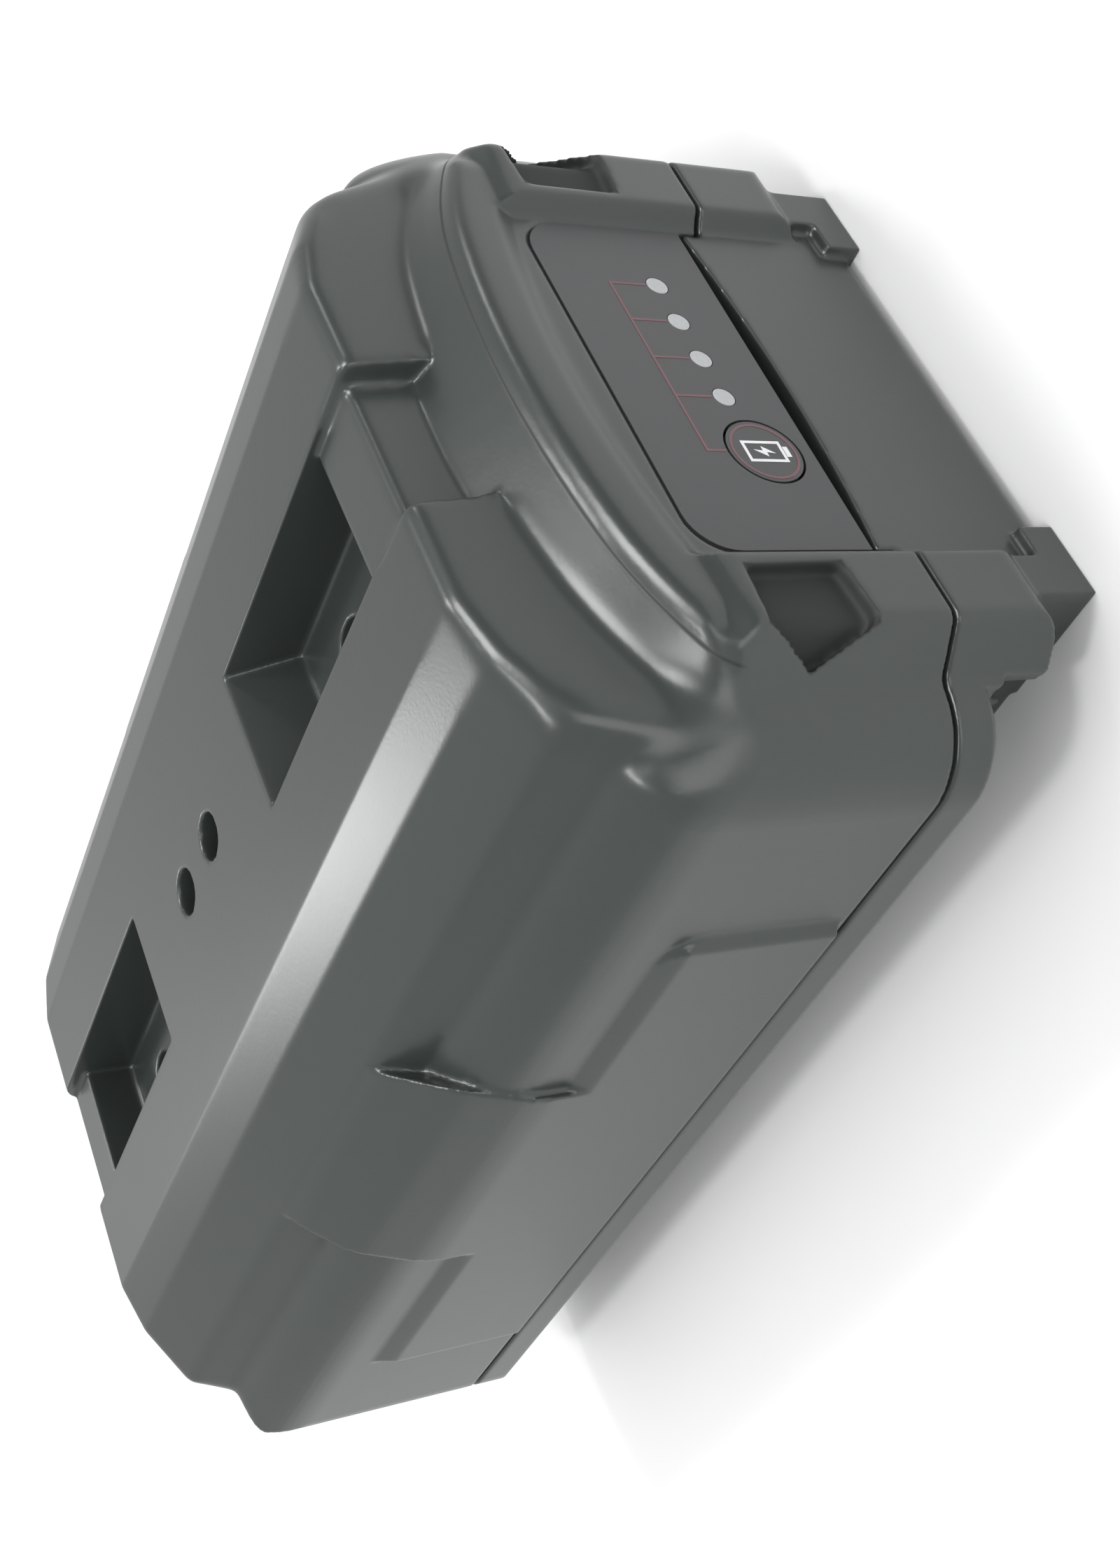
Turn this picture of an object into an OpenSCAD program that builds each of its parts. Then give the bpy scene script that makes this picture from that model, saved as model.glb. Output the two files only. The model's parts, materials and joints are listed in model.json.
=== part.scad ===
// Slide-on battery pack for a power tool, standing on its rails with its belly up.
// X runs across the pack, Y from the gauge end to the back, Z up from the rail feet. Millimetres.

/* [Housing] */
// Width across the plain sides of the housing
body_w = 98; // [88:0.5:108]
// Overall length, from the wing fronts to the back wall
pack_l = 160; // [144:1:176]
// Height of the belly above the tops of the cells
belly_rise = 15.7; // [14:0.1:17.5]
// Wall thickness of the mouldings
wall = 2.2; // [1.8:0.1:2.4]
// Radius of the rounded shoulders over the outer cells
shoulder_r = 10; // [9.6:0.1:10.6]
// Radius of the rear corners in plan
rear_r = 6; // [5:0.5:9]
// Height of the seam between the two housing halves
seam_z = 22; // [20:0.5:24]
// Open gap at the seam
seam_gap = 0.5; // [0.3:0.1:0.8]
// How far the side pads and saddles stand proud of the sides
pad_proud = 1.2; // [0.6:0.1:2]
// Drop from the shoulder axis to the ledge along the top of the side pads
pad_drop = 3.1; // [2:0.1:9]
// Length of the side pads
pad_l = 100.5; // [90:0.5:110]
// Length of a saddle along the side
saddle_l = 39; // [30:1:44]

/* [Belly] */
// Half width of the flat of the belly
belly_flat = 22.5; // [21:0.1:23]
// Radius of the belly edges
belly_r = 3.5; // [2.5:0.1:4]
// Fall of the band along the edge of the flat, in degrees
band_fall = 12; // [8:0.5:14]
// Fall of the flanks beside it, in degrees
flank_fall = 25.5; // [22:0.5:27]
// Radius of the belly edges at the front
front_r = 2; // [1.6:0.1:3]
// Lean of the belly front from the vertical, in degrees
belly_front_lean = 7; // [4:0.5:12]
// Width of the latch channel
channel_w = 19.8; // [16:0.2:24]
// Length of the front latch pocket
front_pocket_l = 36.3; // [28:0.1:40]
// Length of the rear latch pocket
rear_pocket_l = 39.6; // [28:0.1:42]
// Depth of the front sill below the belly
front_sill = 1.2; // [0.6:0.1:1.5]
// Depth of the front sill behind the belly front
front_setback = 3; // [2:0.1:4]
// Depth of the rear sill below the belly
rear_sill = 2; // [0.6:0.1:3]
// Bore of the two screw wells in the belly bridge
well_bore = 6; // [5.8:0.1:7]
// Distance between the two screw wells
well_pitch = 11.6; // [10:0.1:14]

/* [Gauge end] */
// How far the wings stand in front of the label
wing_proud = 2.3; // [1:0.1:3]
// Half width at the inner edge of the wings
wing_in = 27.6; // [27:0.1:29]
// Half width at the outer edge of the wing fronts
wing_out = 36.6; // [34:0.1:38]
// Height of the wing bottoms above the rail feet
wing_bottom = 7.8; // [6:0.1:10]
// Height of the front wall's bottom above the rail feet
front_low = 0.3; // [0.2:0.1:2]
// Depth of the grip recess in each wing
grip_depth = 1.8; // [0.8:0.1:2.4]
// Radius of the brow arch over the label
brow_r = 129; // [110:1:160]
// Rise of the shelf from the brow to the belly, in degrees
shelf_rise = 25; // [18:0.5:28]
// Rise of the brow above the shoulder axis at the middle
brow_rise = 8.6; // [7.5:0.1:9.5]
// How far the brow bead stands in front of the label
brow_proud = 0.9; // [0.4:0.1:1.6]
// Width of the label
label_w = 50.6; // [46:0.2:51]
// Height of the label
label_h = 21.3; // [19:0.1:22]
// Thickness of the label
label_t = 0.5; // [0.3:0.1:0.8]
// Diameter of the gauge button
button_d = 9; // [8:0.1:10]
// Travel of the gauge button
button_travel = 0.6; // [0.3:0.1:0.6]
// Sideways place of the gauge button
button_x = -11; // [-13:0.1:-10]
// Diameter of a light window
window_d = 2.6; // [2:0.1:3.2]
// Distance between light windows
window_pitch = 6.05; // [5:0.05:6.4]
// Thickness of the circuit boards
board_t = 1.6; // [1:0.1:2]

/* [Rail side] */
// Half width at the inner face of a rail
rail_in = 23.4; // [22:0.1:25]
// Width of a rail
rail_w = 10; // [9:0.1:12]
// Height of the rails below the deck between them
rail_h = 4.8; // [4.4:0.1:6]
// Depth of the groove along the outside of each rail
groove_d = 4.5; // [4.3:0.1:5]
// Height of the underside beside the rails
ledge_z = 14; // [13:0.1:15]
// Width of the terminal block
terminal_w = 40; // [36:0.5:42]
// Length of the terminal block
terminal_l = 30; // [26:0.5:32]

/* [Cells] */
// Room between neighbouring cells
cell_room = 0.5; // [0.3:0.1:0.7]
// Room between the outer cells and the sides, wall included
side_room = 2.5; // [2.5:0.1:3]
// Gap between the two banks of cells
bank_gap = 2.8; // [2.4:0.1:4]
// Length taken up in front of and behind the cells
end_room = 27.2; // [26.4:0.1:30]

/* [Clearances] */
// Gap between pieces that are fixed together
fit = 0.1; // [0.05:0.05:0.2]
// Gap round the moving button
button_gap = 0.3; // [0.25:0.05:0.4]

/* [Hidden] */
$fn = 64;
columns = 5;
rows = 2;
banks = 2;
cells = columns * rows * banks;
function cell_name(i) = str("cell_", i < 9 ? "0" : "", i + 1);
CELL_NODES = [for (i = [0 : cells - 1]) cell_name(i)];

// Colours of the materials
shell_grey = [0.25, 0.26, 0.27];
label_black = [0.08, 0.08, 0.09];
board_green = [0.07, 0.3, 0.16];
cell_blue = [0.16, 0.34, 0.55];
frame_black = [0.12, 0.12, 0.12];
steel = [0.7, 0.7, 0.72];
nickel = [0.78, 0.76, 0.7];
copper = [0.8, 0.5, 0.3];
paper = [0.85, 0.8, 0.62];
foam = [0.2, 0.2, 0.22];
milky = [0.92, 0.92, 0.9];

// Cells: as many as fill the width and the length
cell_pitch = (body_w - 2 * side_room + cell_room) / columns;
cell_d = cell_pitch - cell_room;
cell_l = (pack_l - end_room - bank_gap) / banks;

// Planes along the pack
wing_front = -pack_l / 2;
label_y = wing_front + wing_proud;
back_y = pack_l / 2;
body_front = label_y + 3.7;
side_x = body_w / 2;
inner_x = side_x - wall;
inner_front = body_front + wall;
inner_back = back_y - wall;

// Axes of the rounded shoulders and of the corners below them
axis_x = side_x - shoulder_r;
axis_yf = body_front + shoulder_r;
axis_yb = back_y - shoulder_r;
corner_in_r = shoulder_r - wall;

// Heights, worked up from the rails
deck_z = rail_h;
deck_floor = deck_z + wall;
board_z = deck_floor + 2.5;
board_top = board_z + board_t + fit;
side_floor = ledge_z + wall;
cell_r = cell_d / 2;
cell_seat = 1.2;
lower_z = side_floor + cell_seat + cell_r;
upper_z = lower_z + cell_pitch;
scallop_r = cell_r + 0.15;
bay_r = cell_r + 0.3;
cell_top = upper_z + cell_r;
cradle_top = cell_top + 2.6;
roof_z = cradle_top + 0.4;
pocket_floor = roof_z + 3.5;
pack_h = cell_top + belly_rise;
shoulder_z = upper_z + 3.8;
brow_z = shoulder_z + brow_rise;
pad_top = shoulder_z - pad_drop;
sheet_top = upper_z + 4.5;

// Section of the belly, as centres of its rounded edges: flat, band, flank, and the step to the shoulder
step_lean = 25;
band_l = 6.6;
flank_l = side_x - belly_flat - 18.3;
step_l = 9.5;
edge_flat = [belly_flat, pack_h - belly_r];
edge_band = edge_flat + band_l * [cos(band_fall), -sin(band_fall)];
edge_flank = edge_band + flank_l * [cos(flank_fall), -sin(flank_fall)];
edge_foot = edge_flank + step_l * [sin(step_lean), -cos(step_lean)];
belly_edges = [edge_flat, edge_band, edge_flank, edge_foot];
step_normal = [cos(step_lean), sin(step_lean)];
belly_normals = [
  [0, 1], [sin(band_fall), cos(band_fall)], [sin(flank_fall), cos(flank_fall)], step_normal, step_normal];
belly_front = body_front + 4.7;
belly_back = back_y - 3;
roof_x = edge_flank[0] + 1.6;

// Planes of the cells and what closes them off
strip_t = 0.3;
sheet_t = 0.5;
bank_shift = 2.2;
bank_y = [bank_shift - bank_gap / 2 - cell_l, bank_shift + bank_gap / 2];
strip_front_y = bank_y[0] - fit - strip_t;
strip_mid_front_y = bank_y[0] + cell_l + fit;
strip_mid_rear_y = bank_y[1] - fit - strip_t;
strip_rear_y = bank_y[1] + cell_l + fit;
front_sheet_y = strip_front_y - fit - sheet_t;
rear_sheet_y = strip_rear_y + strip_t + fit;
mid_sheet_y = strip_mid_front_y + strip_t + fit;
mid_sheet_t = strip_mid_rear_y - fit - mid_sheet_y;
bay_front = front_sheet_y - 0.2;
bay_back = rear_sheet_y + sheet_t + 0.2;
front_bay_top = shoulder_z - 1;

// Columns joined by the links at the outer ends of the banks, and by those between the banks
outer_groups = [[0, 1], [2, 3], [4, 4]];
middle_groups = [[0, 0], [1, 2], [3, 4]];

// Latch pockets and screw places on the belly
front_pocket_y = belly_front + 12.9;
rear_pocket_y = belly_back - 47.4;
front_pocket_back = front_pocket_y + front_pocket_l;
rear_pocket_back = rear_pocket_y + rear_pocket_l;
catch_lean = 4.2;
rear_lean = 0.8;
well_y = bank_shift + 1.4;
cradle_screw_y = [
  front_pocket_y + 21, well_y - well_pitch / 2, well_y + well_pitch / 2, rear_pocket_y + 28];
pocket_recess = well_bore + 2.4;

// Screws: shank radius, head radius, head height
screw_r = 1.5;
head_r = 2.8;
head_h = 1.5;
boss_r = 3.5;
head_seat = pocket_floor - head_h;
cradle_screw_l = head_seat - cell_top - 0.6;

// Closing screws, one near each corner
closing_x = axis_x - 2;
closing_y = [axis_yf - 6, back_y - 6.8];
closing_top = seam_z + 14;
closing_seat = side_floor;

// Label and gauge
label_z = seam_z + 3.1;
label_gap = 0.25;
front_sag = 1.6;
sag_r = (label_w * label_w / 4 + front_sag * front_sag) / (2 * front_sag);
label_seat = label_y + label_t;
panel_in = label_seat + 2;
gauge_board_y = panel_in + 5.6;
gauge_board_size = [44, 18];
gauge_board_low = label_z + 1;
window_z = label_z + 7.4;
window_x0 = -2.7;
windows = 4;
button_z = label_z + 6.3;
flange_r = button_d / 2 + 1.3;
flange_t = 0.9;
flange_y = panel_in + button_gap;
switch_size = 6;
switch_front = flange_y + flange_t + button_travel + button_gap;
plunger_r = 1.7;
plunger_reach = 1;
gauge_screw_x = 19;
gauge_screw_z = gauge_board_low + gauge_board_size[1] - 4;

// Small screws that hold the circuit boards
small_r = 1;
small_head_r = 2;
small_head_h = 1.2;

// Control board and terminal
terminal_y = back_y - wall - terminal_l;
control_y = bank_y[0] + 18.2;
control_end = terminal_y - 1.8;
control_w = 50;
post_x = 21;
post_y = [control_y + 5, control_end - 5];
well_x = rail_in + rail_w - groove_d - wall;
terminal_end = back_y - 0.5;
terminal_top = deck_floor + 7;
slot_w = 2.2;
slot_top = terminal_top - 2;
power_x = 14;
signal_x = [-6, 0, 6];
lead_t = 0.5;
lead_x = [21, 26.4];
lead_z = [side_floor + 0.8, seam_z - 0.2];

// Unit vector
function unit(v) = v / norm(v);

// Way from the corner of two faces with unit normals a and b to a point one unit outside both
function mitre(a, b) = (a + b) / (1 + a * b);

// Arc that rounds the corner b between a and c with radius r
function corner_arc(a, b, c, r, n) =
  r == 0 ? [b] :
  let (
    u = unit(a - b),
    v = unit(c - b),
    half = acos(u * v) / 2,
    m = b + unit(u + v) * r / sin(half),
    s = b + u * r / tan(half) - m,
    e = b + v * r / tan(half) - m,
    a0 = atan2(s[1], s[0]),
    turn = (atan2(e[1], e[0]) - a0 + 540) % 360 - 180
  )
  [for (k = [0 : n]) m + r * [cos(a0 + turn * k / n), sin(a0 + turn * k / n)]];

// Outline through corners [x, y, radius], with each corner rounded
function rounded(corners, n = 8) =
  let (count = len(corners))
  [for (i = [0 : count - 1])
    let (
      a = corners[(i + count - 1) % count],
      b = corners[i],
      c = corners[(i + 1) % count]
    )
    each corner_arc([a[0], a[1]], [b[0], b[1]], [c[0], c[1]], b[2], n)];

// Points on the shoulder between two angles, out from its axis
function shoulder_arc(a0, a1, r, n = 18) =
  [for (k = [0 : n])
    let (a = a0 + (a1 - a0) * k / n)
    [r * cos(a), shoulder_z + r * sin(a)]];

// Sideways place of a cell column
function column_x(c) = (c - (columns - 1) / 2) * cell_pitch;

// Height of a cell row
function row_z(r) = r == 0 ? lower_z : upper_z;

// Both mirror images across the middle of the pack
module both() {
  children();
  mirror([1, 0, 0]) children();
}

// Outline in X and Z, drawn out along Y
module along_y(y0, y1) {
  translate([0, y1, 0]) rotate([90, 0, 0]) linear_extrude(y1 - y0) children();
}

// Outline in Y and Z, drawn out along X
module along_x(x0, x1) {
  translate([x0, 0, 0]) rotate([90, 0, 90]) linear_extrude(x1 - x0) children();
}

// Outline in X and Y, drawn out along Z
module along_z(z0, z1) {
  translate([0, 0, z0]) linear_extrude(z1 - z0) children();
}

// Rod along Y
module rod_y(x, z, y0, y1, r) {
  translate([x, y1, z]) rotate([90, 0, 0]) cylinder(r = r, h = y1 - y0);
}

// Block between two corners
module block(low, high) {
  translate(low) cube(high - low);
}

// Belly block with its band, flanks and steps, shrunk on all sides by inset and set back at the front
module belly_block(inset, setback) {
  lean = belly_front_lean;
  hull()
    both()
      for (i = [0 : len(belly_edges) - 1]) {
        edge = belly_edges[i];
        tip = edge + (belly_r - front_r) * mitre(belly_normals[i], belly_normals[i + 1]);
        front = belly_front - (pack_h - tip[1]) * tan(lean) + front_r / cos(lean) + setback;
        translate([edge[0], belly_back - belly_r, edge[1]]) sphere(r = belly_r - inset, $fn = 32);
        translate([tip[0], front, tip[1]]) sphere(r = front_r - inset, $fn = 32);
      }
}

// Long sides with their rounded shoulders, closed by round corners
module shoulders(z0) {
  top = shoulder_z + shoulder_r;
  length = axis_yb - axis_yf;
  intersection() {
    along_y(axis_yf, back_y)
      both()
        translate([axis_x, 0])
          polygon(concat(
            [[-axis_x, z0], [shoulder_r, z0]], shoulder_arc(0, 100, shoulder_r), [[-axis_x, roof_z + 1]]));
    along_x(-side_x, side_x)
      translate([axis_yb, 0])
        polygon(concat(
          [[-length, z0], [shoulder_r, z0]], shoulder_arc(0, 90, shoulder_r), [[-length, top]]));
    along_z(z0, top) cavity_plan(wall);
  }
  both()
    translate([axis_x, axis_yf, 0])
      rotate_extrude()
        polygon(concat([[0, z0], [shoulder_r, z0]], shoulder_arc(0, 90, shoulder_r)));
}

// Flat raised pad on each long side, with sloping edges
module side_pads() {
  y0 = -pad_l / 2 + 5;
  y1 = y0 + pad_l;
  low = seam_z + 1.6;
  root = side_x - 1;
  out = side_x + pad_proud;
  ledge = 2.9;
  both()
    intersection() {
      along_x(root, out)
        polygon(rounded([[y0, low, 0], [y1, low, 0], [y1, pad_top, 1], [y0, pad_top, 6]]));
      along_y(y0, y1)
        polygon([[root, low], [out, low], [out, pad_top - ledge], [side_x, pad_top], [root, pad_top]]);
      along_z(low, pad_top)
        polygon([
          [root, y0], [side_x, y0], [out, y0 + pad_proud],
          [out, y1 - pad_proud], [side_x, y1], [root, y1]]);
    }
}

// Saddle that carries the flank smoothly over the shoulder, with a swept front end
module saddles() {
  low = seam_z + 1.6;
  out = side_x + pad_proud;
  normal = [sin(flank_fall), cos(flank_fall)];
  start = edge_flank + (belly_r - 0.05) * normal;
  crest = start + 3.2 * [cos(flank_fall), -sin(flank_fall)];
  y0 = -saddle_l / 2 + 2.5;
  y1 = y0 + saddle_l;
  both()
    intersection() {
      along_y(y0, y1 + 6)
        polygon(rounded([
          [axis_x - 9, low, 0], [out, low, 0], [out, shoulder_z + 0.5, 12], [out - 3.7, shoulder_z + 9.5, 10],
          [crest[0], crest[1], 10], [start[0], start[1], 0], [axis_x - 9, shoulder_z, 0]]));
      along_z(low, pack_h)
        polygon(rounded([
          [axis_x - 10, y0 + 16, 0], [side_x - 2.5, y0 + 1.5, 8], [out + 1, y0, 0],
          [out + 1, y1, 0], [axis_x - 10, y1 + 6, 0]]));
    }
}

// Body of revolution about the centre of the brow arch, from an outline in radius and -Y
module about_brow() {
  translate([0, 0, brow_z - brow_r]) rotate([90, 0, 0]) rotate_extrude($fn = 180) children();
}

// Front of the pack above or below the seam: label plane, wing roots and the shelf behind the brow
module gauge_front(z0, z1) {
  shelf_r = brow_r - 0.7;
  shelf_back = shelf_r + (axis_yf - label_y) * tan(shelf_rise);
  depth = 60;
  intersection() {
    along_z(z0, z1)
      both()
        polygon(rounded([
          [0, axis_yf, 0], [0, label_y, 0], [wing_out - 1, label_y, 1],
          [wing_out + 3.3, body_front - 0.4, 2.5], [axis_x + 1.8, body_front + 0.2, 0],
          [axis_x, axis_yf, 0]]));
    about_brow()
      polygon([
        [shelf_r - depth, -axis_yf], [shelf_back, -axis_yf],
        [shelf_r, -label_y], [shelf_r - depth, -label_y]]);
  }
}

// Wings at the front corners, whose fronts lean back under the brow
module wings(z0, inset) {
  top = shoulder_z + 3;
  both()
    intersection() {
      along_z(z0, top)
        polygon(rounded([
          [wing_in - 2 + inset, label_y + 0.5, 0], [wing_in + inset, wing_front + inset, 1],
          [wing_out - inset / 2, wing_front + inset, 2], [wing_out + 3.3 - inset, body_front - 0.4, 0],
          [wing_out - inset, axis_yf, 0], [wing_in - 2 + inset, axis_yf, 0]]));
      along_x(0, side_x)
        polygon(rounded([
          [axis_yf, z0, 0], [wing_front, z0, z0 == wing_bottom ? 3 : 0],
          [wing_front, top - 6, 8], [label_y + 0.6, top, 0], [axis_yf, top, 0]]));
      about_brow()
        polygon([[0, -axis_yf], [brow_r - 1.2, -axis_yf], [brow_r - 1.2, -wing_front], [0, -wing_front]]);
    }
}

// Crescent bead along the brow, which dies out in the corners
module brow_bead() {
  bead_front = label_y - brow_proud;
  intersection() {
    about_brow()
      polygon(rounded([
        [brow_r - 8, -body_front, 0], [brow_r, -body_front - 1, 0.6], [brow_r, -bead_front, 2.6],
        [brow_r - 5.4, -bead_front, 2.6], [brow_r - 8, -label_y - 0.05, 0]]));
    along_z(seam_z, brow_z + 1)
      both()
        polygon(rounded([
          [0, axis_yf, 0], [0, bead_front, 0], [wing_out - 1.5, bead_front, 8],
          [wing_out + 3.3, body_front - 0.4, 2.5], [axis_x + 1.8, body_front + 0.2, 0], [axis_x, axis_yf, 0]]));
  }
}

// Fine groove along the back of the bead, where the shelf begins
module bead_groove() {
  y = label_y + 1.6;
  deep = 0.6;
  half = 0.6;
  about_brow()
    polygon([[brow_r - deep, -y], [brow_r + 1, half - y], [brow_r + 1, -half - y]]);
}

// Arrow-shaped grip recess on each wing, sunk parallel to the wing's own faces
module grip_cuts() {
  difference() {
    both()
      along_y(wing_front - 1, body_front - 0.2)
        polygon(rounded([
          [wing_in + 1.7, label_z + 19.3, 1], [wing_out - 0.3, label_z + 19.6, 1],
          [wing_out + 2.5, label_z + 14.2, 1], [wing_out, label_z + 6.8, 1],
          [wing_in + 1.5, label_z + 7.6, 1]]));
    wings(seam_z, grip_depth);
  }
}

// Outline of the label, drawn in X and Z, grown by extra
module label_outline(extra) {
  x = label_w / 2 + extra;
  polygon(rounded([
    [-x, label_z - extra, 0], [x, label_z - extra, 0],
    [x, label_z + label_h + extra, 5], [-x, label_z + label_h + extra, 5]]));
}

// Rods for the light windows, one at each place
module window_rods(y0, y1, r) {
  for (i = [0 : windows - 1])
    rod_y(window_x0 + i * window_pitch, window_z, y0, y1, r);
}

// Latch channel: two pockets, and shallow sills that run out over both ends of the belly
module latch_cuts() {
  x = channel_w / 2;
  top = pack_h + 1;
  along_x(-x, x)
    polygon([
      [front_pocket_y, pocket_floor], [front_pocket_back - catch_lean, pocket_floor],
      [front_pocket_back, top], [front_pocket_y, top]]);
  along_x(-x, x)
    polygon([
      [rear_pocket_y, pocket_floor], [rear_pocket_back, pocket_floor],
      [rear_pocket_back, top], [rear_pocket_y - rear_lean, top]]);
  difference() {
    block([-x, body_front, brow_z - 1], [x, front_pocket_y + 0.5, top]);
    belly_block(front_sill, front_setback - front_sill);
    gauge_front(seam_z, pack_h);
  }
  block([-x, rear_pocket_back - 0.5, pack_h - rear_sill], [x, back_y + 1, top]);
}

// Screw places on the belly: wells through the bridge, recesses in the pocket floors, shank holes
module cradle_screw_cuts() {
  for (i = [0 : 3])
    translate([0, cradle_screw_y[i], 0]) {
      translate([0, 0, head_seat]) cylinder(d = i == 1 || i == 2 ? well_bore : pocket_recess, h = pack_h);
      translate([0, 0, shoulder_z]) cylinder(r = screw_r + fit, h = pack_h - shoulder_z);
    }
}

// Plan of the cavity, grown by extra
module cavity_plan(extra) {
  x = inner_x + extra;
  front_r = shoulder_r - wall + extra;
  back_r = rear_r - wall + extra;
  polygon(rounded([
    [-x, inner_front - extra, front_r], [x, inner_front - extra, front_r],
    [x, inner_back + extra, back_r], [-x, inner_back + extra, back_r]]));
}

// Solid left round the latch pockets and screw wells inside the belly
module pocket_walls() {
  x = channel_w / 2 + wall;
  block([-x, body_front, roof_z], [x, front_pocket_back + wall, pack_h]);
  block([-x, rear_pocket_y - rear_lean - wall, roof_z], [x, back_y, pack_h]);
  for (i = [1, 2])
    translate([0, cradle_screw_y[i], roof_z]) cylinder(d = well_bore + 2 * wall, h = pack_h);
}

// Hollow of the housing above the seam: cell bay, gauge bay, rear bay and the space in the belly
module upper_cavity() {
  low = seam_z - 1;
  bay_start = belly_front + 6.1;
  belly_end = belly_back - wall - 1;
  void_top = pack_h - wall - 0.5;
  under = edge_flank - 0.5 * [cos(flank_fall), 0];
  along_y(bay_start, bay_back)
    both()
      translate([axis_x, 0, 0])
        polygon(concat(
          [[-axis_x, low], [corner_in_r, low]], shoulder_arc(0, 75, corner_in_r),
          [[roof_x - axis_x, roof_z], [-axis_x, roof_z]]));
  block([-inner_x, bay_front, low], [inner_x, bay_start + 1, sheet_top + 0.3]);
  for (c = [0 : columns - 1])
    rod_y(column_x(c), upper_z, bay_front, bay_start + 1, bay_r);
  intersection() {
    along_z(low, front_bay_top) cavity_plan(0);
    union() {
      block([-inner_x, inner_front - 1, low], [inner_x, bay_front + 1, front_bay_top]);
      block([-inner_x, bay_back - 1, low], [inner_x, inner_back + 1, front_bay_top]);
    }
  }
  block([-label_w / 2 - 0.5, panel_in, low], [label_w / 2 + 0.5, inner_front + 1, front_bay_top]);
  difference() {
    along_y(bay_start, belly_end)
      both()
        polygon([
          [0, roof_z - 1], [roof_x, roof_z - 1], [under[0] + 0.9, under[1]],
          [edge_band[0], edge_band[1] + 0.4], [belly_flat, void_top], [0, void_top]]);
    pocket_walls();
  }
}

// Bosses inside the belly shell: closing screws at the corners and the gauge board posts
module shell_bosses() {
  low = seam_z + seam_gap;
  both() {
    for (y = closing_y)
      translate([closing_x, y, low]) cylinder(r = boss_r, h = front_bay_top - low + 1);
    rod_y(gauge_screw_x, gauge_screw_z, panel_in - 0.5, gauge_board_y - fit, 2.4);
  }
}

// Large housing half with the belly
module belly_shell() {
  low = seam_z + seam_gap / 2;
  lip = 2;
  color(shell_grey)
    difference() {
      union() {
        difference() {
          union() {
            shoulders(low);
            belly_block(0, 0);
            side_pads();
            saddles();
            gauge_front(low, pack_h);
            wings(low, 0);
            brow_bead();
          }
          upper_cavity();
          along_z(seam_z - 1, seam_z + lip) cavity_plan(1);
          block([2 - wing_in, wing_front, seam_z - 1], [wing_in - 2, inner_front + 1, label_z - 0.2]);
        }
        shell_bosses();
      }
      latch_cuts();
      cradle_screw_cuts();
      bead_groove();
      grip_cuts();
      along_y(wing_front - 1, label_seat) label_outline(label_gap);
      rod_y(button_x, button_z, wing_front, panel_in + 1, button_d / 2 + button_gap);
      window_rods(wing_front, panel_in + 1, window_d / 2 + fit);
      both() {
        for (y = closing_y)
          translate([closing_x, y, 0]) cylinder(r = screw_r + fit, h = closing_top + 1);
        rod_y(gauge_screw_x, gauge_screw_z, panel_in + 0.4, gauge_board_y + 1, small_r + fit);
      }
    }
}

// Section across the rail side below the seam, drawn in X and Z for one half
module rail_half() {
  x = rail_in + rail_w;
  polygon([
    [0, seam_z], [side_x, seam_z], [side_x, ledge_z + 3], [side_x - 3, ledge_z],
    [x - groove_d, ledge_z], [x - groove_d, rail_h], [x, rail_h], [x, 1], [x - 1, 0], [rail_in + 0.6, 0],
    [rail_in, 0.6], [rail_in, deck_z], [0, deck_z]]);
}

// Front end of the rail side: corners, wing bottoms, front wall and the tips of the rails
module rail_front(top) {
  tip = wing_front + 0.8;
  front_t = 4;
  intersection() {
    union() {
      both()
        translate([axis_x, axis_yf, 0])
          rotate_extrude()
            polygon([
              [0, ledge_z], [shoulder_r - 3, ledge_z], [shoulder_r, ledge_z + 3],
              [shoulder_r, top], [0, top]]);
      gauge_front(ledge_z, top);
      wings(wing_bottom, 0);
      along_x(-wing_in, wing_in)
        polygon(rounded([
          [axis_yf, deck_z, 0], [label_y + front_t, deck_z, 0], [label_y + front_t, front_low, 0.5],
          [label_y, front_low, 2], [label_y, label_z, 0], [axis_yf, label_z, 0]]));
    }
    block([-side_x, wing_front, 0], [side_x, 0, top]);
  }
  both() {
    block([rail_in, tip, 0], [rail_in + rail_w, axis_yf + 1, rail_h]);
    block([wing_in, tip, 0], [rail_in + rail_w, axis_yf + 1, ledge_z + 1]);
    block([rail_in, label_y + 4, 0], [rail_in + rail_w, axis_yf + 1, ledge_z]);
  }
  difference() {
    block([2.3 - wing_in, label_y, deck_z + 4], [wing_in - 2.3, inner_front, label_z - 0.7]);
    rod_y(0, label_z - 0.7 - front_sag + sag_r, label_y - 1, inner_front + 1, sag_r);
  }
}

// Tongue along the seam that centres the other housing half
module seam_tongue(top) {
  intersection() {
    along_z(top - 2, seam_z + 1.9) cavity_plan(0.9);
    difference() {
      block([-side_x, inner_front + 1, 0], [side_x, back_y, pack_h]);
      block([-label_w / 2, wing_front, 0], [label_w / 2, inner_front + 2, pack_h]);
    }
  }
}

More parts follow.
